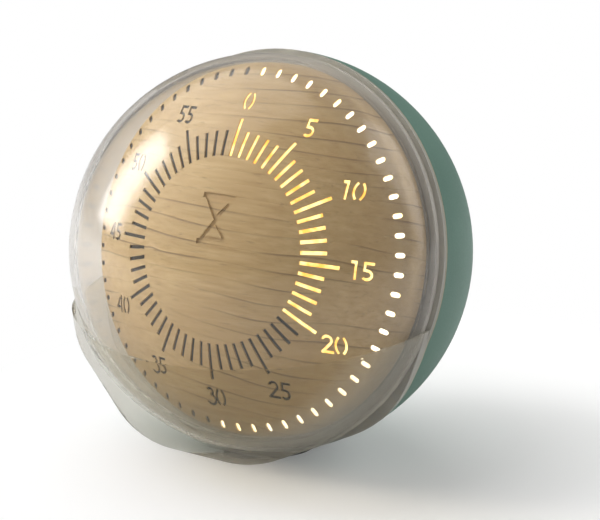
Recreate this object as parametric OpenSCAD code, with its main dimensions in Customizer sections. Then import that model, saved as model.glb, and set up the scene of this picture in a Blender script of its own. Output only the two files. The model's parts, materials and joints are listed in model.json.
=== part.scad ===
// Ball-shaped rotary kitchen timer with a light-through wooden dial.
// +Z is up and the dial faces -Y. The origin lies on the resting plane, under the middle of the ball.
// Heights along the dial axis are counted from the seam between the clear front and the rear shell.

/* [Body] */
// Diameter of the rear shell's ball
body_d = 90.6; // [84:0.2:110]
// Wall of the rear shell
shell_wall = 2.2; // [1.6:0.1:3]
// Distance of the ball's middle behind the seam
shell_back = 1.9; // [0:0.1:4]
// Backward lean of the dial, degrees
dial_tilt = 11.7; // [6:0.1:20]
// Height of the ball's lowest point above the resting plane
pad_lift = 0.5; // [0.4:0.1:1.5]
// Outer radius of the rubber base pad
pad_r = 10.5; // [8:0.5:11]
// Width of the base pad's ring
pad_w = 4; // [2:0.5:5]

/* [Clear front] */
// Step from the seam inwards to the dome
dome_step = 1.0; // [0.8:0.1:2]
// Wall of the dome
dome_wall = 1.8; // [1.4:0.1:2.6]
// Height of the fixed front ring
ring_h = 0.9; // [0.7:0.1:2]
// Thickness of the gasket under the front ring
gasket_t = 0.5; // [0.4:0.1:1]
// Gap between the turning dome and the fixed pieces
turn_gap = 0.3; // [0.2:0.05:0.5]
// Least wall of the clear foot
foot_wall = 0.5; // [0.4:0.1:1]
// Radius of the foot's two cheeks
cheek_r = 21.9; // [18:0.1:23]
// Direction of a cheek from the dial's middle: sideways, down the dial and out of it
cheek_way = [20.3, 16.7, 6.6]; // [0:0.1:24]
// How far a cheek swells out of the ball
cheek_out = 3.94; // [2:0.01:5]
// Radius of the foot's two toes
toe_r = 20.4; // [17:0.1:21]
// Direction of a toe from the seam's middle: sideways, to the front and down
toe_way = [7.1, 17.6, 22.4]; // [0:0.1:24]
// How far a toe swells out of the ball
toe_out = 4.7; // [3:0.01:5.5]
// Distance of the foot's upper edge below the dial's middle, at the seam
foot_edge = 10.9; // [8:0.1:16]
// Fall of the foot's upper edge towards the front, degrees
foot_fall = 18.5; // [10:0.5:26]

/* [Dial] */
// Rise of the dial's crown above its shoulder
crown_rise = 13.2; // [9:0.1:16]
// Height of the dial's shoulder above the seam
shoulder_h = 8.4; // [7:0.1:10]
// Rounding of the shoulder
shoulder_round = 3; // [1:0.25:4]
// Gap between the dial and the inside of the dome
dial_gap = 0.35; // [0.25:0.05:1]
// Thickness of the dial's face
face_t = 2.0; // [1.6:0.1:3]
// Thickness of the dial's side
side_t = 1.5; // [1.2:0.1:2]
// Depth of the open part of each cut mark
mark_depth = 0.4; // [0.3:0.1:1.2]
// Minutes with a lit scale line
lit_minutes = 20; // [5:5:55]
// Minutes with a lit outer dot
lit_dots = 30; // [5:5:55]
// Gap between the scale lines and the numerals
tick_gap = 2.0; // [1:0.1:4]
// Length of a one-minute line
tick_len = 5.6; // [4:0.1:6]
// Length of a five-minute line
long_len = 8.2; // [6:0.1:8.6]
// Width of the scale lines
tick_w = 0.8; // [0.5:0.05:1]
// Distance of the numerals' middle from the outer dots
numeral_inset = 6.76; // [5:0.01:8]
// Height of the numerals
numeral_h = 4.0; // [3.4:0.1:5.6]
// Width of the numerals' strokes
stroke = 0.62; // [0.4:0.02:0.8]
// Distance of the outer dots from the dial's edge
dot_inset = 1.9; // [1.5:0.1:4]
// Length and width of an outer dot
dot_size = [1.9, 1.1]; // [0.8:0.1:2.4]

/* [Drive] */
// Teeth of the encoder's pinion
pinion_teeth = 10; // [8:1:12]
// Module of the two gears
gear_m = 1.0; // [0.8:0.02:1.2]
// Width of the pinion
pinion_w = 3.6; // [3:0.1:4]
// Diameter of the encoder's shaft
shaft_d = 3; // [2.5:0.1:4]
// Running clearance of the shaft, on the radius
shaft_gap = 0.05; // [0.03:0.01:0.1]

/* [Inside] */
// Thickness of the two circuit boards
board_t = 1.0; // [0.8:0.1:1.6]
// Diameter of the battery cell
cell_d = 14; // [10:0.5:16]
// Length of the battery cell
cell_len = 43; // [34:1:48]
// Diameter of the rear button
button_d = 10; // [8:0.5:12]
// Travel of the rear button
button_travel = 0.6; // [0.4:0.1:0.8]
// Travel of the sound switch's knob
switch_travel = 3; // [2:0.5:3]
// Diameter of the shell screws
screw_d = 2.5; // [2:0.1:3]

/* [Hidden] */
$fn = 96;

// Ball and seam
shell_r = body_d / 2;
seam_r = sqrt(pow(shell_r, 2) - pow(shell_back, 2));
shell_in_r = shell_r - shell_wall;
shell_mouth_r = sqrt(pow(shell_in_r, 2) - pow(shell_back, 2));
seam_z = pad_lift + shell_r + shell_back * sin(dial_tilt);
seam_y = -shell_back * cos(dial_tilt);
far = 4 * shell_r;

// Dome, its skirt and the parts that hold it
dome_r = seam_r - dome_step;
dome_in_r = dome_r - dome_wall;
rim_h = ring_h + turn_gap;
skirt_top = rim_h + 1.4;
flange_r = shell_mouth_r - 0.2;
flange_t = 2;
flange_top = -gasket_t + 0.2;
flange_low = flange_top - flange_t;
lip = 0.7;
ring_in_r = flange_r - lip;
skirt_r = ring_in_r - turn_gap;
skirt_wall = 1.5;
gear_low = flange_low - 4;
gear_back_r = skirt_r - 0.9;
bearing_r = flange_r - 0.5;
bearing_wall = 1.1;

// Foot
foot_r = dome_r + turn_gap + foot_wall;
cheek_at = cheek_way / norm(cheek_way) * (foot_r + cheek_out - cheek_r);
toe_at = toe_way / norm(toe_way) * (foot_r + toe_out - toe_r);

// Dial
minutes = 60;
side_r = dome_in_r - dial_gap;
edge_r = sqrt(pow(side_r, 2) - pow(shoulder_h, 2));
crown_r = (pow(edge_r, 2) + pow(crown_rise, 2)) / (2 * crown_rise);
crown_mid = shoulder_h + crown_rise - crown_r;
dial_low = skirt_top + 0.4;
dot_r = edge_r - dot_inset;
numeral_r = dot_r - numeral_inset;
tick_in = numeral_r - numeral_h / 2 - tick_gap - long_len;
badge_h = 10;
badge_up = 6.5;
badge_depth = 0.4;
minute_step = 360 / minutes;

// Light stack under the dial
diffuser_t = 1;
seat_h = dial_low + 0.6;
board_top = seat_h + board_t;
led_t = 0.7;
stack_r = sqrt(pow(side_r - side_t, 2) - pow(board_top, 2)) - 0.5;
baffle_top_r = crown_r - face_t - diffuser_t;

// Chassis, its screws and the battery's cradle
ring_teeth = 4 * floor((gear_back_r / gear_m - 2.9) / 2);
orbit = gear_m * (ring_teeth - pinion_teeth) / 2;
hub_r = gear_m * (ring_teeth / 2 - 0.9) - 0.7;
hub_wall = 1.8;
deck_low = gear_low - 2.7;
deck_t = 1.6;
deck_top = deck_low + deck_t;
deck_r = bearing_r;
deck_in_r = 26;
top_r = skirt_r - skirt_wall - 1;
top_low = dial_low - 1.1;
post_angles = [60, 180, 300];
head_d = screw_d + 3.1;
head_t = 2;
head_seat = deck_low - 5;
boss_r = head_d / 2 + 1.6;
cradle_t = 1.6;
cradle_wall = 1.6;
cradle_half = cell_len / 2 + 8.5;
cell_h = deck_low - cradle_t - cell_d / 2;
post_r = (cell_d / 2 + cradle_wall + boss_r + 1) / cos(post_angles[0]);

// Encoder
pinion_top = flange_low - 0.3;
pinion_low = pinion_top - pinion_w;
encoder_r = 5;
encoder_len = 8;

// Rear board and what it carries
board_low = shell_rear(0) + 8.8;
board_up = board_low + board_t;
main_r = 21;
post_at = [13, 13];
post_d = 4.4;
button_r = button_d / 2;
button_gap = 0.3;
button_flange = 1.4;
tact_t = 3;
tact_face = board_low - tact_t;
plunger_d = 3.4;
plunger_out = 0.8;
socket_v = -13;
socket_size = [9, 3.3];
switch_v = 14;
switch_size = [9, 4.2];
knob_size = [2.6, 2.2];
knob_slot = [knob_size[0] + switch_travel + 0.6, knob_size[1] + 0.6];
buzzer_u = -13;
buzzer_r = 5;
// Chips: middle, size and height of each
chips = [[0, 0, 7, 7, 1], [-9, 4, 5, 4, 1.2], [9, 6, 4, 4, 1], [7, -8, 6, 2.4, 1.6]];

// Height of the shell's inner wall at a distance from the axis, and of its outer wall
function shell_rear(r) = -shell_back - sqrt(pow(shell_in_r, 2) - r * r);
function shell_skin(r) = -shell_back - sqrt(pow(shell_r, 2) - r * r);
function around(a, r) = [r * sin(a), r * cos(a)];

module on_dial() translate([0, seam_y, seam_z]) rotate([90 - dial_tilt, 0, 0]) children();

module tube(r_out, r_in, low, high) translate([0, 0, low]) difference() {
    cylinder(r = r_out, h = high - low);
    translate([0, 0, -1]) cylinder(r = r_in, h = high - low + 2);
}

module slab(low, high) translate([-far / 2, -far / 2, low]) cube([far, far, high - low]);

module rod(r, low, high) translate([0, 0, low]) cylinder(r = r, h = high - low);

module block(size, low, high) translate([-size[0] / 2, -size[1] / 2, low])
    cube([size[0], size[1], high - low]);

// ---- Marks of the dial, drawn flat ----

module line_mark(i) rotate(-i * minute_step) {
    len = i % 5 == 0 ? long_len : tick_len;
    translate([-tick_w / 2, tick_in]) square([tick_w, len]);
}

module dot_mark(i) rotate(-i * minute_step) translate([0, dot_r]) {
    reach = (dot_size[0] - dot_size[1]) / 2;
    square([dot_size[1], 2 * reach], center = true);
    for (y = [-reach, reach]) translate([0, y]) circle(d = dot_size[1], $fn = 24);
}

module bow(r, from, to) intersection() {
    difference() {
        circle(r = r + stroke / 2, $fn = 48);
        circle(r = r - stroke / 2, $fn = 48);
    }
    polygon(concat([[0, 0]], [for (k = [0:4]) let (a = from + (to - from) * k / 4)
        3 * r * [cos(a), sin(a)]]));
}

module bar(a, b) {
    d = b - a;
    translate(a) rotate(atan2(d[1], d[0])) translate([-stroke / 2, -stroke / 2])
        square([norm(d) + stroke, stroke]);
}

// A digit stands on y = 0 and is centred on x = 0
module digit(n) {
    t = numeral_h;
    s = stroke / 2;
    if (n == 0) for (turned = [0, 180]) translate([0, t / 2]) rotate(turned)
        translate([-t * 0.45, 0]) bow(t * 0.71, -39, 39);
    if (n == 1) {
        bar([t * 0.08, s], [t * 0.08, t - s]);
        bar([-t * 0.1, t - s], [t * 0.08, t - s]);
    }
    if (n == 2) {
        translate([0, t * 0.7]) bow(t * 0.3 - s, -40, 170);
        bar([t * 0.17, t * 0.55], [-t * 0.22, s]);
        bar([-t * 0.22, s], [t * 0.28, s]);
    }
    if (n == 3) {
        translate([0, t * 0.745]) bow(t * 0.255 - s, -90, 150);
        translate([0, t * 0.275]) bow(t * 0.275 + s * 0.3, -150, 90);
    }
    if (n == 4) {
        bar([t * 0.14, s], [t * 0.14, t - s]);
        bar([-t * 0.3, t * 0.3], [-t * 0.02, t * 0.3]);
        bar([-t * 0.3, t * 0.3], [-t * 0.02, t * 0.78]);
    }
    if (n == 5) {
        bar([-t * 0.18, t - s], [t * 0.2, t - s]);
        bar([-t * 0.18, t - s], [-t * 0.18, t * 0.56]);
        translate([-t * 0.06, t * 0.31]) bow(t * 0.31 - s, -140, 112);
    }
}

module numeral(i) translate(around(i * minute_step, numeral_r) - [0, numeral_h / 2]) {
    tens = floor(i / 10);
    shift = tens > 0 ? numeral_h * 0.34 : 0;
    translate([shift, 0]) digit(i % 10);
    if (tens > 0) translate([-shift, 0]) digit(tens);
}

module line_marks(from, to) for (i = [from:to]) line_mark(i);
module dot_marks(from, to) for (i = [from:to]) dot_mark(i);
module numerals(from, to) for (i = [from:5:to]) numeral(i);

// Hourglass mark, drawn flat
module hourglass(t) {
    w = t * 0.36;
    for (y = [-t / 2, t / 2]) translate([0, y]) square([2.4 * w, t * 0.12], center = true);
    for (m = [0, 1]) mirror([0, m]) difference() {
        polygon([[-w, t * 0.44], [w, t * 0.44], [t * 0.05, 0], [-t * 0.05, 0]]);
        polygon([[-w * 0.62, t * 0.37], [w * 0.62, t * 0.37], [0, t * 0.12]]);
    }
}

module crown_ball(r) translate([0, 0, crown_mid]) sphere(r = r, $fn = 180);

// What lies between two balls drawn from the crown's middle
module crown_layer(r_out, r_in) difference() {
    intersection() {
        crown_ball(r_out);
        slab(seat_h, far);
    }
    crown_ball(r_in);
}

// Light windows: the flat marks given as children, carried up to the floor of the cuts
module windows() intersection() {
    crown_layer(crown_r - mark_depth, crown_r - face_t);
    linear_extrude(far) children();
}

// ---- Casing ----

module rear_shell() color("#6f8f82") on_dial() difference() {
    union() {
        intersection() {
            translate([0, 0, -shell_back]) difference() {
                sphere(r = shell_r, $fn = 180);
                sphere(r = shell_in_r, $fn = 180);
            }
            slab(-far / 2, -gasket_t);
        }
        intersection() {
            translate([0, 0, -shell_back]) sphere(r = shell_in_r + shell_wall / 2);
            union() {
                for (a = post_angles) translate(around(a, post_r)) rod(boss_r, -far / 2, deck_low);
                for (side = [-1, 1]) translate([side * post_at[0], -side * post_at[1]])
                    rod(post_d / 2, -far / 2, board_low);
            }
        }
    }
    for (a = post_angles) translate(around(a, post_r)) {
        rod(head_d / 2 + 0.2, -far / 2, head_seat);
        rod(screw_d / 2 + 0.2, -far / 2, far / 2);
    }
    for (side = [-1, 1]) translate([side * post_at[0], -side * post_at[1]])
        rod(0.9, board_low - 2.2, board_low + 1);
    rod(button_r + button_gap, -far / 2, shell_rear(0) + 1.5);
    translate([0, socket_v]) block(socket_size + [0.5, 0.5], -far / 2, board_low - 0.1);
    translate([0, switch_v]) block(knob_slot + [0.2, 0.2], -far / 2, board_low - 1);
    for (a = [0:60:300]) translate([buzzer_u, 0] + around(a, 2.6)) rod(0.6, -far / 2, -far / 4);
    translate([buzzer_u, 0]) rod(0.6, -far / 2, -far / 4);
}

// Rounded body of the foot: the dome's ball, two cheeks beside it and two toes in front
module foot_body() hull() {
    on_dial() sphere(r = foot_r, $fn = 72);
    on_dial() for (side = [-1, 1]) translate([side * cheek_at[0], -cheek_at[1], cheek_at[2]])
        sphere(r = cheek_r, $fn = 64);
    for (side = [-1, 1]) translate([side * toe_at[0], seam_y - toe_at[1], seam_z - toe_at[2]])
        sphere(r = toe_r, $fn = 64);
}

// Part of space that the foot may fill: in front of the seam and below a sloping line
module foot_zone() intersection() {
    slab(0, far / 2);
    translate([0, -foot_edge, 0]) rotate([foot_fall, 0, 0])
        translate([-far / 2, -far, -far / 2]) cube(far);
}

module seam_gasket() color("#5e746a") difference() {
    union() {
        on_dial() rod(seam_r, -gasket_t, 0);
        intersection() {
            foot_body();
            on_dial() intersection() {
                slab(-gasket_t, 0);
                translate([-far / 2, -far, -far / 2]) cube(far);
            }
        }
    }
    on_dial() rod(shell_mouth_r + 0.1, -far / 4, far / 4);
}

module front_foot() color("#d9d2c2", 0.55) difference() {
    union() {
        on_dial() rod(seam_r, 0, ring_h);
        intersection() {
            foot_body();
            on_dial() foot_zone();
        }
    }
    on_dial() {
        rod(ring_in_r, -far / 4, ring_h + 1);
        difference() {
            sphere(r = dome_r + turn_gap, $fn = 180);
            slab(-far / 2, ring_h);
        }
    }
}

// Rubber ring round the ball's lowest point, shaped to the ball above it
module base_pad() color("#3b3d3c") difference() {
    tube(pad_r, pad_r - pad_w, 0, pad_r / 2);
    translate([0, 0, pad_lift + shell_r]) sphere(r = shell_r, $fn = 180);
}

// ---- Turning dome and its drive ----

module clear_dome() color("#e9e4d8", 0.35) on_dial() {
    difference() {
        union() {
            intersection() {
                sphere(r = dome_r, $fn = 180);
                slab(rim_h, far / 2);
            }
            rod(skirt_r, flange_top, rim_h + 0.5);
        }
        intersection() {
            sphere(r = dome_in_r, $fn = 180);
            slab(skirt_top, far / 2);
        }
        rod(skirt_r - skirt_wall, -far / 4, skirt_top + 0.5);
    }
}

module gear_ring() color("#b9ae98") on_dial() {
    difference() {
        union() {
            rod(flange_r, flange_low, flange_top);
            rod(gear_back_r, gear_low, flange_low + 0.5);
        }
        translate([0, 0, gear_low - 1]) linear_extrude(far) gear_outline(ring_teeth, 0.25, 0.9, 0.02);
    }
}

// Involute gear outline; more is added to the tips, and thick to half a tooth's width
module gear_outline(teeth, more, root, thick) {
    pitch_r = gear_m * teeth / 2;
    base_r = pitch_r * cos(20);
    tip_r = pitch_r + gear_m * (0.9 + more);
    root_r = pitch_r - gear_m * root;
    half = 90 / teeth + thick / pitch_r * 180 / PI;
    start_r = max(base_r, root_r);
    radii = [for (k = [0:3]) start_r + (tip_r - start_r) * k / 3];
    swing = [for (r = radii) half + roll(pitch_r, base_r) - roll(r, base_r)];
    polygon([for (i = [0:teeth - 1]) let (a = i * 360 / teeth) each concat(
        [turn(root_r, a - swing[0] - 0.1)],
        [for (k = [0:3]) turn(radii[k], a - swing[k])],
        [for (k = [3:-1:0]) turn(radii[k], a + swing[k])],
        [turn(root_r, a + swing[0] + 0.1)])]);
}

function roll(r, base) = let (p = acos(min(1, base / r))) tan(p) * 180 / PI - p;
function turn(r, a) = [r * cos(a), r * sin(a)];

module bearing_ring() color("#8d8f8c") on_dial() tube(bearing_r, bearing_r - bearing_wall, deck_top,
    flange_low - 0.3);

module encoder_shaft() color("#c9c6bd") on_dial() translate([0, orbit, 0]) {
    rod(shaft_d / 2, deck_low - 3, pinion_top);
    translate([0, 0, pinion_low]) linear_extrude(pinion_w) rotate(90)
        gear_outline(pinion_teeth, 0, 1.15, -0.12);
}

module encoder_body() color("#4a4f52") on_dial() translate([0, orbit, 0]) difference() {
    rod(encoder_r, deck_low - encoder_len, deck_low);
    rod(shaft_d / 2 + shaft_gap, deck_low - 3.3, deck_low + 1);
}

// ---- Dial and its lights ----

module dial_profile() {
    fall = side_r - shoulder_round;
    hold = crown_r - shoulder_round;
    y = (fall * fall - hold * hold + crown_mid * crown_mid) / (2 * crown_mid);
    x = sqrt(fall * fall - y * y);
    up = [x, y - crown_mid] / hold;
    out = [x, y] / fall;
    difference() {
        intersection() {
            translate([0, crown_mid]) circle(r = crown_r, $fn = 180);
            circle(r = side_r, $fn = 180);
            translate([0, dial_low]) square(far / 2);
        }
        polygon([[x, y], [x, y] + 12 * up, [x, y] + 18 * (up + out) / norm(up + out), [x, y] + 12 * out]);
    }
    translate([x, y]) circle(r = shoulder_round, $fn = 64);
}

module wood_dial() color("#cbb892") on_dial() difference() {
    rotate_extrude($fn = 180) dial_profile();
    intersection() {
        crown_ball(crown_r - face_t);
        sphere(r = side_r - side_t, $fn = 180);
    }
    intersection() {
        crown_layer(crown_r + 1, crown_r - face_t - 0.3);
        linear_extrude(far / 2) {
            line_marks(0, minutes - 1);
            dot_marks(0, minutes - 1);
            numerals(0, minutes - 1);
        }
    }
    difference() {
        translate([0, badge_up, shoulder_h]) linear_extrude(far / 4) hourglass(badge_h);
        crown_ball(crown_r - badge_depth);
    }
}

module lit_ticks() color("#fff0b0") on_dial() windows() line_marks(0, lit_minutes);
module dark_ticks() color("#4e463c") on_dial() windows() line_marks(lit_minutes + 1, minutes - 1);
module lit_dots() color("#fffbe8") on_dial() windows() dot_marks(0, lit_dots);
module dark_dots() color("#4e463c") on_dial() windows() dot_marks(lit_dots + 1, minutes - 1);
module lit_numerals() color("#ffe9a0") on_dial() windows() numerals(0, lit_minutes);
module dark_numerals() color("#4e463c") on_dial() windows() numerals(lit_minutes + 5, minutes - 5);

module light_diffuser() color("#f4f1e6") on_dial() intersection() {
    crown_layer(crown_r - face_t, baffle_top_r);
    rod(stack_r, board_top, far / 4);
}

module baffle_slot(size, r) translate([0, r]) block(size, board_top - 1, far / 4);

module light_baffle() color("#2c2c2c") on_dial() difference() {
    intersection() {
        crown_ball(baffle_top_r);
        rod(stack_r, board_top, far / 4);
    }
    for (i = [0:minutes - 1]) rotate(-i * minute_step) {
        baffle_slot([1.5, long_len + 0.8], tick_in + long_len / 2);
        baffle_slot([1.8, 3.6], dot_r - 0.8);
    }
    for (i = [0:11]) rotate(-i * 30) baffle_slot([1.68 * numeral_h, numeral_h + 0.6], numeral_r - 0.2);
    rod(tick_in - 3, board_top - 1, board_top + 3);
}

module led_board() color("#3c5a46") on_dial() rod(stack_r, seat_h, board_top);

module tick_leds() color("#f6e7b0") on_dial() for (i = [0:minutes - 1]) rotate(-i * minute_step)
    translate([0, tick_in + 2]) block([1, 1.6], board_top, board_top + led_t);

module dot_leds() color("#f6e7b0") on_dial() {
    for (i = [0:minutes - 1]) rotate(-i * minute_step)
        translate([0, dot_r - 1.6]) block([1, 1.2], board_top, board_top + led_t);
    for (i = [0:11]) rotate(-i * 30) translate([0, numeral_r - 1.5])
        block([3.2, 1.2], board_top, board_top + led_t);
}

// ---- Chassis and what it carries ----

module dial_chassis() color("#a9a797") on_dial() difference() {
    union() {
        intersection() {
            rod(seam_r, dial_low, seat_h);
            sphere(r = side_r - side_t, $fn = 180);
        }
        rod(top_r, top_low, seat_h);
        tube(hub_r, hub_r - hub_wall, deck_low, top_low + 0.4);
        tube(deck_r, deck_in_r, deck_low, deck_top);
        for (a = post_angles) translate(around(a, post_r)) rod(3, deck_low, deck_top + 5);
        for (side = [-1, 1]) translate([side * (cradle_half - 2), 0]) rod(2.4, deck_low, deck_top + 2);
    }
    translate([0, orbit, 0]) {
        rod(shaft_d / 2 + shaft_gap, deck_low - 1, top_low - 0.5);
        rod(gear_m * (pinion_teeth / 2 + 1.6), deck_top, top_low - 0.5);
    }
    for (a = post_angles) translate(around(a, post_r)) rod(screw_d / 2, deck_low - 1, deck_top + 4.6);
    for (side = [-1, 1]) translate([side * (cradle_half - 2), 0]) rod(1, deck_low - 1, deck_top + 1.8);
    rod(12, top_low - 1, seat_h - 0.8);
}

module shell_screws() color("#b8bcc0") on_dial() for (a = post_angles) translate(around(a, post_r))
    difference() {
        union() {
            rod(head_d / 2, head_seat - head_t, head_seat);
            rod(screw_d / 2, head_seat, deck_top + 4);
        }
        for (q = [0, 90]) rotate(q) block([head_d * 0.6, 0.7], head_seat - head_t - 1, head_seat - 1.1);
    }

module battery_cradle() color("#8f9188") on_dial() difference() {
    union() {
        block([2 * cradle_half + 6, cell_d + 2 * cradle_wall], deck_low - cradle_t, deck_low);
        for (side = [-1, 1]) translate([0, side * (cell_d + cradle_wall) / 2])
            block([cell_len + 6, cradle_wall], cell_h - cell_d * 0.3, deck_low - cradle_t / 2);
    }
    for (side = [-1, 1]) translate([side * (cradle_half - 2), 0]) rod(1.1, -far / 4, far / 4);
}

module cradle_screws() color("#b8bcc0") on_dial() for (side = [-1, 1])
    translate([side * (cradle_half - 2), 0]) {
        rod(1, deck_low - cradle_t - 0.2, deck_top + 1.6);
        rod(1.9, deck_low - cradle_t - 1.5, deck_low - cradle_t);
    }

module battery_cell() color("#3f6fa3") on_dial() translate([-cell_len / 2, 0, cell_h])
    rotate([0, 90, 0]) union() {
        cylinder(d = cell_d, h = cell_len - 1);
        translate([0, 0, cell_len - 1.5]) cylinder(d = cell_d * 0.4, h = 1.5);
    }

module cell_contacts() color("#c8b27a") on_dial() for (side = [-1, 1])
    translate([side * (cell_len / 2 + 0.3), 0, 0])
        block([0.6, cell_d - 2], cell_h - cell_d * 0.3, deck_low - cradle_t);

module main_board() color("#3c5a46") on_dial() difference() {
    rod(main_r, board_low, board_up);
    for (side = [-1, 1]) translate([side * post_at[0], -side * post_at[1]])
        rod(1.15, board_low - 1, board_up + 1);
}

module board_screws() color("#b8bcc0") on_dial() for (side = [-1, 1])
    translate([side * post_at[0], -side * post_at[1]]) {
        rod(0.9, board_low - 2, board_up + 0.2);
        rod(1.9, board_up, board_up + 1.2);
    }

module board_chips() color("#26292b") on_dial() for (c = chips)
    translate([c[0], c[1]]) block([c[2], c[3]], board_up, board_up + c[4]);

module sound_buzzer() color("#202224") on_dial() translate([buzzer_u, 0]) difference() {
    rod(buzzer_r, shell_rear(buzzer_r - buzzer_u) + 0.3, board_low);
    rod(1, -far / 2, shell_rear(buzzer_r - buzzer_u) + 1);
}

module charge_socket() color("#b8bcc0") on_dial() translate([0, socket_v]) difference() {
    block(socket_size, shell_skin(-socket_v) + 1, board_low);
    block(socket_size - [0.7, 0.7], -far / 2, board_low - 1);
}

module sound_switch() color("#2b2d2e") on_dial() difference() {
    translate([0, switch_v]) block(switch_size, shell_rear(switch_v + 3) + 0.2, board_low);
    translate([0, switch_v]) block(knob_slot, -far / 2, board_low - 0.8);
}

module switch_knob() color("#d9dad6") on_dial() translate([-switch_travel / 2, switch_v])
    block(knob_size, shell_skin(switch_v) - 0.7, board_low - 1.1);

module tact_switch() color("#2b2d2e") on_dial() difference() {
    block([6, 6], tact_face, board_low);
    rod(plunger_d / 2 + 0.3, tact_face - 1, tact_face + button_travel + 0.9);
}

module tact_plunger() color("#d9dad6") on_dial()
    rod(plunger_d / 2, tact_face - plunger_out, tact_face + 0.6);

module mode_button() color("#5f7d72") on_dial() union() {
    rod(button_r, shell_skin(0) - 0.8, shell_rear(0) + 1.7);
    rod(button_r + button_flange, shell_rear(button_r + button_flange) + 0.3,
        shell_rear(button_r + button_flange) + 1.1);
    rod(plunger_d / 2, shell_rear(0) + 1, tact_face - plunger_out);
}

rear_shell();
seam_gasket();
front_foot();
clear_dome();
gear_ring();
bearing_ring();
wood_dial();
lit_ticks();
dark_ticks();
lit_dots();
dark_dots();
lit_numerals();
dark_numerals();
light_diffuser();
light_baffle();
led_board();
tick_leds();
dot_leds();
dial_chassis();
encoder_body();
encoder_shaft();
battery_cradle();
battery_cell();
cell_contacts();
main_board();
board_chips();
board_screws();
sound_buzzer();
charge_socket();
sound_switch();
switch_knob();
tact_switch();
tact_plunger();
mode_button();
shell_screws();
cradle_screws();
base_pad();
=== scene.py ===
"""A ball-shaped rotary kitchen timer: materials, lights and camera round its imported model."""
import json
import math

import bmesh
import bpy
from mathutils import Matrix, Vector

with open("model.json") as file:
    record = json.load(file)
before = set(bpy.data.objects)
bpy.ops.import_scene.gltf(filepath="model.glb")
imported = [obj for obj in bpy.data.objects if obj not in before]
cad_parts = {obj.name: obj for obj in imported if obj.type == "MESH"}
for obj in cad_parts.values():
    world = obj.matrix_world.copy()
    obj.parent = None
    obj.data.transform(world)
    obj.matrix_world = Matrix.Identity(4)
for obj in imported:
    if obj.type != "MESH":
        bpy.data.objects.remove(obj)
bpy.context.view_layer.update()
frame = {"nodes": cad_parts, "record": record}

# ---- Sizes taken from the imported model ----

TILT = math.radians(11.7)  # backward lean of the dial
JOINTS = {joint["name"]: joint for joint in frame["record"]["behaviour"]["joints"]}
SEAM = Vector(JOINTS["dome_turn"]["pos_m"])  # middle of the seam of the clear front and the shell
DIAL_AXIS = Vector((0, -math.cos(TILT), math.sin(TILT)))
RADIUS = 0.045  # of the seam, which the camera's distance is counted in

# ---- Camera ----

CAMERA_TURN = math.radians(34.1)
CAMERA_RISE = math.radians(13.8)
CAMERA_DISTANCE = 8.4 * RADIUS
LENS = 100.7
IMAGE_WIDTH = 600
FRAME_SHIFT = (33.3 / IMAGE_WIDTH, -9.8 / IMAGE_WIDTH)


def camera_back():
    """Unit vector from the timer towards the camera."""
    flat = math.cos(CAMERA_RISE)
    return Vector((math.sin(CAMERA_TURN) * flat, -math.cos(CAMERA_TURN) * flat,
                   math.sin(CAMERA_RISE)))


def camera_axes():
    """The camera's right, up and back, as unit vectors."""
    back = camera_back()
    right = Vector((0, 0, 1)).cross(back).normalized()
    return right, back.cross(right), back


def make_camera():
    data = bpy.data.cameras.new("camera")
    data.lens = LENS
    data.shift_x, data.shift_y = FRAME_SHIFT
    data.clip_start, data.clip_end = 0.01, 20
    camera = bpy.data.objects.new("camera", data)
    bpy.context.collection.objects.link(camera)
    camera.location = SEAM + camera_back() * CAMERA_DISTANCE
    camera.rotation_euler = camera_back().to_track_quat("Z", "Y").to_euler()
    bpy.context.scene.camera = camera


make_camera()

# ---- Material helpers ----


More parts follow.
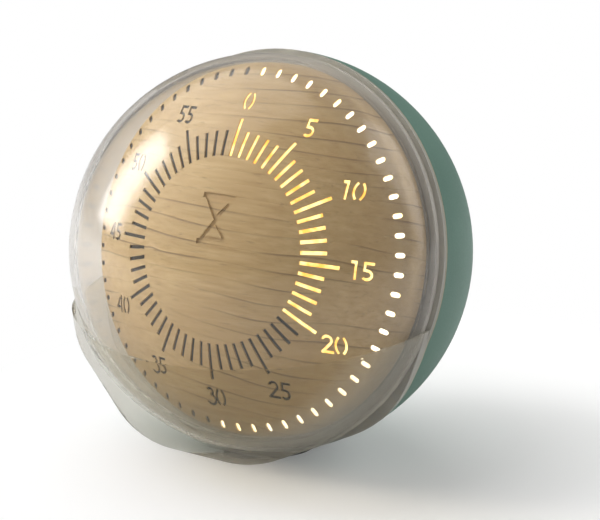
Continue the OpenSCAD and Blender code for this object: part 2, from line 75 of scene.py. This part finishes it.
class Nodes:
    """Builds one node material, a node at a time."""

    def __init__(self, name):
        self.material = bpy.data.materials.new(name)
        self.material.use_nodes = True
        self.tree = self.material.node_tree
        self.tree.nodes.clear()
        self.output = self.add("ShaderNodeOutputMaterial")

    def add(self, kind, inputs=(), **settings):
        node = self.tree.nodes.new(kind)
        for key, value in settings.items():
            setattr(node, key, value)
        for key, value in dict(inputs).items():
            if isinstance(value, bpy.types.NodeSocket):
                self.tree.links.new(value, node.inputs[key])
            else:
                node.inputs[key].default_value = value
        return node

    def place(self, scale=(1, 1, 1), turn=(0, 0, 0)):
        where = self.add("ShaderNodeTexCoord").outputs["Object"]
        mapping = self.add("ShaderNodeMapping", {"Vector": where, "Scale": scale, "Rotation": turn})
        return mapping.outputs[0]

    def noise(self, where, scale, detail=4, rough=0.5):
        return self.add("ShaderNodeTexNoise", {
            "Vector": where, "Scale": scale, "Detail": detail, "Roughness": rough}).outputs["Fac"]

    def measure(self, operation, one, two):
        """A vector operation that gives a vector."""
        return self.add("ShaderNodeVectorMath", {0: one, 1: two}, operation=operation).outputs[0]

    def math(self, operation, one, two=0.5):
        return self.add("ShaderNodeMath", {0: one, 1: two}, operation=operation).outputs[0]

    def ramp(self, fac, stops):
        node = self.add("ShaderNodeValToRGB", {"Fac": fac})
        elements = node.color_ramp.elements
        while len(elements) < len(stops):
            elements.new(0.5)
        for element, (position, colour) in zip(elements, stops):
            element.position = position
            element.color = (*colour, 1)
        return node.outputs[0]

    def levels(self, fac, low, high, to_low=0.0, to_high=1.0):
        return self.add("ShaderNodeMapRange", {
            "Value": fac, "From Min": low, "From Max": high,
            "To Min": to_low, "To Max": to_high}).outputs[0]

    def mix(self, fac, one, two):
        """Two colours mixed. The first is a socket and the second a plain colour."""
        fac_in, one_in, two_in, colour_out = 0, 6, 7, 2  # places of the colour sockets
        node = self.add("ShaderNodeMix", {fac_in: fac, one_in: one, two_in: (*two, 1)},
                        data_type="RGBA")
        return node.outputs[colour_out]

    def bump(self, height, distance):
        return self.add("ShaderNodeBump", {
            "Height": height, "Distance": distance, "Strength": 1.0}).outputs[0]

    def finish(self, shader):
        self.tree.links.new(shader.outputs[0], self.output.inputs["Surface"])
        return self.material


def srgb(code):
    """Linear colour of a six-digit colour code."""
    parts = [int(code[i:i + 2], 16) / 255 for i in (0, 2, 4)]
    return tuple(p / 12.92 if p <= 0.04045 else ((p + 0.055) / 1.055) ** 2.4 for p in parts)


SPARK_GRAIN = 2600  # noise scale of the mould's spark-eroded texture
SPARK_DEPTH = 0.00003


def moulded(name, light, dark, rough, coat=0.0):
    """Moulded plastic: a slow drift of colour, and the mould's fine texture in the gloss."""
    n = Nodes(name)
    where = n.place()
    drift = n.noise(where, 34, 3)
    fine = n.noise(where, SPARK_GRAIN, 2)
    colour = n.ramp(drift, [(0.3, dark), (0.7, light)])
    shader = n.add("ShaderNodeBsdfPrincipled", {
        "Base Color": colour,
        "Roughness": n.levels(fine, 0.3, 0.7, rough - 0.05, rough + 0.06),
        "Coat Weight": coat, "Coat Roughness": 0.2,
        "Normal": n.bump(fine, SPARK_DEPTH)})
    return n.finish(shader)


def lit(name, core, edge, strength):
    """Lit acrylic: warmer and dimmer where its thickness varies."""
    n = Nodes(name)
    cloud = n.noise(n.place(), 420, 2)
    glow = n.ramp(cloud, [(0.35, edge), (0.6, core)])
    shader = n.add("ShaderNodeBsdfPrincipled", {
        "Base Color": glow, "Roughness": 0.4,
        "Emission Color": glow, "Emission Strength": strength})
    return n.finish(shader)


RIM_START, RIM_END = 0.039, 0.0445  # distance from the dial's axis over which the haze grows
SEAM_HAZE = 0.38
FROST_END, CLEAR_START = 0.0022, 0.0032  # height over the seam at which the frosting stops


def clear(name, tint, front_haze, rim_haze, coat):
    """Clear plastic that lets lamps through: polished over the dial, hazier towards its rim and
    frosted at the seam."""
    n = Nodes(name)
    smear = n.noise(n.place(), 60, 3)
    ball = n.measure("SUBTRACT", n.place(), SEAM)
    rise = n.add("ShaderNodeVectorMath", {0: ball, 1: DIAL_AXIS},
                 operation="DOT_PRODUCT").outputs["Value"]
    along = n.add("ShaderNodeVectorMath", {0: DIAL_AXIS, "Scale": rise},
                  operation="SCALE").outputs[0]
    across = n.measure("SUBTRACT", ball, along)
    reach = n.add("ShaderNodeVectorMath", {0: across}, operation="LENGTH").outputs["Value"]
    polished = n.levels(reach, RIM_START, RIM_END, 1 - front_haze, 1 - rim_haze)
    frosted = n.levels(rise, FROST_END, CLEAR_START, 1 - SEAM_HAZE, 1)
    let_through = n.math("MULTIPLY", polished, frosted)
    glass = n.add("ShaderNodeBsdfPrincipled", {
        "Base Color": (*tint, 1), "Roughness": n.levels(smear, 0.3, 0.7, 0.0, 0.02),
        "Transmission Weight": let_through,
        "IOR": 1.02, "Coat Weight": coat, "Coat Roughness": 0.16, "Coat IOR": 1.5})
    open_glass = n.add("ShaderNodeBsdfTransparent", {"Color": (*tint, 1)})
    lamp = n.add("ShaderNodeLightPath").outputs["Is Shadow Ray"]
    mixed = n.add("ShaderNodeMixShader", {0: lamp, 1: glass.outputs[0], 2: open_glass.outputs[0]})
    return n.finish(mixed)


RINGS_PER_METRE = 310.0
RING_WANDER = 2.6  # how many rings a line may stray from straight
PORE_DEPTH = 0.00004


def oak():
    """Light oak: long wavy rings, fine streaks and short dark pores, all along X."""
    n = Nodes("dial_oak")
    turned = n.place(turn=(TILT, 0, 0))
    parts = n.add("ShaderNodeSeparateXYZ", {0: turned}).outputs

    def stretched(x, y, z):
        return n.place((x, y, z), (TILT, 0, 0))

    wander = n.noise(stretched(9, 24, 24), 1.0, 2)
    rings = n.math("MULTIPLY", parts[2], RINGS_PER_METRE)
    rings = n.math("ADD", rings, n.levels(wander, 0, 1, -RING_WANDER, RING_WANDER))
    saw = n.math("FRACT", rings)
    line = n.ramp(saw, [(0.0, (0, 0, 0)), (0.84, (0.12, 0.12, 0.12)),
                        (0.95, (1, 1, 1)), (0.985, (0, 0, 0))])
    patchy = n.levels(n.noise(stretched(30, 90, 90), 1.0, 2), 0.42, 0.62)
    streak = n.noise(stretched(60, 900, 900), 1.0, 4, 0.6)
    pores = n.levels(n.noise(stretched(160, 2600, 2600), 1.0, 2), 0.63, 0.7)
    base = n.ramp(streak, [(0.3, srgb("c4a472")), (0.55, srgb("d4b886")), (0.75, srgb("dec696"))])
    cloud = n.noise(stretched(20, 60, 60), 1.0, 3)
    drift = n.mix(n.levels(cloud, 0.35, 0.65, 0, 0.5), base, srgb("c6a777"))
    strength = n.math("MULTIPLY", line, patchy)
    strength = n.levels(strength, 0, 1, 0, 0.9)
    ringed = n.mix(strength, drift, srgb("7d6443"))
    final = n.mix(n.levels(pores, 0, 1, 0, 0.35), ringed, srgb("8d7350"))
    height = n.math("ADD", line, pores)
    shader = n.add("ShaderNodeBsdfPrincipled", {
        "Base Color": final, "Roughness": n.levels(streak, 0.2, 0.8, 0.48, 0.62),
        "Normal": n.bump(height, -PORE_DEPTH)})
    return n.finish(shader)


def metal(name, colour, rough):
    """Bare metal with a fine brushed grain."""
    n = Nodes(name)
    brushed = n.noise(n.place((1, 1, 8)), 700, 2)
    shader = n.add("ShaderNodeBsdfPrincipled", {
        "Base Color": (*colour, 1), "Metallic": 1.0,
        "Roughness": n.levels(brushed, 0.3, 0.7, rough - 0.06, rough + 0.08),
        "Normal": n.bump(brushed, 0.00001)})
    return n.finish(shader)


GREEN = (srgb("6f9486"), srgb("668a7d"))
MATERIALS = {
    "green_shell": moulded("satin_green", *GREEN, 0.5),
    "green_button": moulded("button_green", srgb("5f7a6e"), srgb("566f64"), 0.45),
    "gasket": moulded("seam_rubber", srgb("bab5a1"), srgb("aca893"), 0.6),
    "beige_plastic": moulded("beige_plastic", srgb("e2d8c4"), srgb("d8cdb7"), 0.5),
    "bearing_plastic": moulded("grey_acetal", srgb("8d8f8c"), srgb("7d807d"), 0.4),
    "gear_plastic": moulded("white_nylon", srgb("d8d6cc"), srgb("ccc9be"), 0.45),
    "black_plastic": moulded("black_plastic", srgb("303234"), srgb("26282a"), 0.45),
    "pad_rubber": moulded("pad_rubber", srgb("343635"), srgb("2b2d2c"), 0.75),
    "diffuser": moulded("milky_diffuser", srgb("f0ece0"), srgb("e6e2d4"), 0.5),
    "dark_mark": moulded("smoked_window", srgb("3a342c"), srgb("2f2a24"), 0.5),
    "circuit_board": moulded("green_board", srgb("2f6a46"), srgb("28603e"), 0.35, coat=0.5),
    "cell_wrap": moulded("blue_sleeve", srgb("2f62a6"), srgb("285694"), 0.3, coat=0.4),
    "led": moulded("led_lens", srgb("f3df92"), srgb("e8cf78"), 0.25),
    "lit_mark": lit("lit_gold", srgb("fff0a6"), srgb("eebb52"), 1.5),
    "lit_dot": lit("lit_white", srgb("fffbe8"), srgb("fff0c0"), 2.2),
    "contact_brass": metal("contact_brass", (0.76, 0.6, 0.3), 0.3),
    "screw_steel": metal("zinc_steel", (0.62, 0.63, 0.65), 0.3),
    "dial_wood": oak(),
    "clear_dome": clear("dome_clear", (0.965, 0.945, 0.91), 0.012, 0.09, 1.0),
    "clear_foot": clear("foot_clear", (0.9, 0.885, 0.83), 0.006, 0.16, 0.15),
}

for part in frame["record"]["subparts"]:
    mesh = frame["nodes"][part["node"]].data
    mesh.materials.clear()
    mesh.materials.append(MATERIALS[part["material_slot"]])

# ---- Floor with a painted shadow, lights and backdrop ----


PAINTED_SHADOW_MIDDLE = (0.022, 0.02, 0)  # middle of the painted shadow on the floor; the painted light and the white backdrop grow away from this place
PAINTED_LIGHT_START, PAINTED_LIGHT_END = 0.03, 0.085
PAINTED_LIGHT_NEAR, PAINTED_LIGHT_FAR = 0.17, 0.34  # painted light added to the floor for camera rays: weaker near the timer, which leaves a painted shadow there
# distance over which the painted shadow fades into the white backdrop
SHADE_FADE_START, SHADE_FADE_END = 0.048, 0.112


def make_floor():
    """Pale paper floor with a painted shadow: camera rays see painted light that is weakest near
    the timer, and the floor turns into the white backdrop a little way from the timer.
    """
    grid = bmesh.new()
    bmesh.ops.create_grid(grid, x_segments=1, y_segments=1, size=3)
    data = bpy.data.meshes.new("floor")
    grid.to_mesh(data)
    grid.free()
    floor = bpy.data.objects.new("floor", data)
    bpy.context.collection.objects.link(floor)
    n = Nodes("pale_floor_painted_shade")
    where = n.place()
    shade = n.noise(where, 3, 2)
    colour = n.ramp(shade, [(0.3, (0.86, 0.86, 0.86)), (0.7, (0.88, 0.88, 0.88))])
    away = n.add("ShaderNodeVectorMath", {0: where, 1: PAINTED_SHADOW_MIDDLE},
                 operation="DISTANCE").outputs["Value"]
    seen = n.add("ShaderNodeLightPath").outputs["Is Camera Ray"]
    # painted light, seen only by the camera: weaker near the timer, so a painted contact shadow
    # lies round its base
    painted_floor_light = n.math("MULTIPLY", n.levels(away, PAINTED_LIGHT_START, PAINTED_LIGHT_END, PAINTED_LIGHT_NEAR, PAINTED_LIGHT_FAR), seen)
    paper = n.add("ShaderNodeBsdfPrincipled", {
        "Base Color": colour, "Roughness": 0.9, "Emission Color": (1, 1, 1, 1),
        "Emission Strength": painted_floor_light})
    white = n.add("ShaderNodeEmission", {"Color": (1, 1, 1, 1), "Strength": 1.0})
    # further from the timer the painted shadow gives way to the white backdrop
    painted_shade_fade = n.math("MULTIPLY", n.levels(away, SHADE_FADE_START, SHADE_FADE_END), seen)
    shader = n.add("ShaderNodeMixShader", {0: painted_shade_fade, 1: paper.outputs[0], 2: white.outputs[0]})
    data.materials.append(n.finish(shader))


def area_light(name, from_camera, distance, size, power, mirrored=True):
    """A softbox. from_camera is its direction from the timer: right, up and towards the camera."""
    right, up, back = camera_axes()
    data = bpy.data.lights.new(name, "AREA")
    data.shape = "RECTANGLE"
    data.size, data.size_y = size
    data.energy = power
    light = bpy.data.objects.new(name, data)
    bpy.context.collection.objects.link(light)
    way = (right * from_camera[0] + up * from_camera[1] + back * from_camera[2]).normalized()
    light.location = SEAM + way * distance
    light.rotation_euler = way.to_track_quat("Z", "Y").to_euler()
    light.visible_glossy = mirrored


def make_world():
    """Even room light, in front of a white backdrop."""
    world = bpy.data.worlds.new("studio")
    world.use_nodes = True
    tree = world.node_tree
    room = tree.nodes["Background"]
    room.inputs["Color"].default_value = (1, 0.98, 0.95, 1)
    room.inputs["Strength"].default_value = 0.25
    backdrop = tree.nodes.new("ShaderNodeBackground")
    backdrop.inputs["Color"].default_value = (1, 1, 1, 1)
    choice = tree.nodes.new("ShaderNodeMixShader")
    seen = tree.nodes.new("ShaderNodeLightPath").outputs["Is Camera Ray"]
    tree.links.new(seen, choice.inputs[0])
    tree.links.new(room.outputs[0], choice.inputs[1])
    tree.links.new(backdrop.outputs[0], choice.inputs[2])
    tree.links.new(choice.outputs[0], tree.nodes["World Output"].inputs["Surface"])
    bpy.context.scene.world = world


make_floor()
make_world()
area_light("left_softbox", (-0.88, 0.46, -0.12), 0.7, (0.26, 0.5), 2.2)
area_light("overhead", (-0.3, 0.93, -0.2), 1.1, (1.3, 1.3), 7, mirrored=False)
area_light("right_fill", (0.86, 0.42, -0.3), 0.7, (0.4, 0.6), 1.7, mirrored=False)
bpy.context.scene.view_settings.view_transform = "Standard"
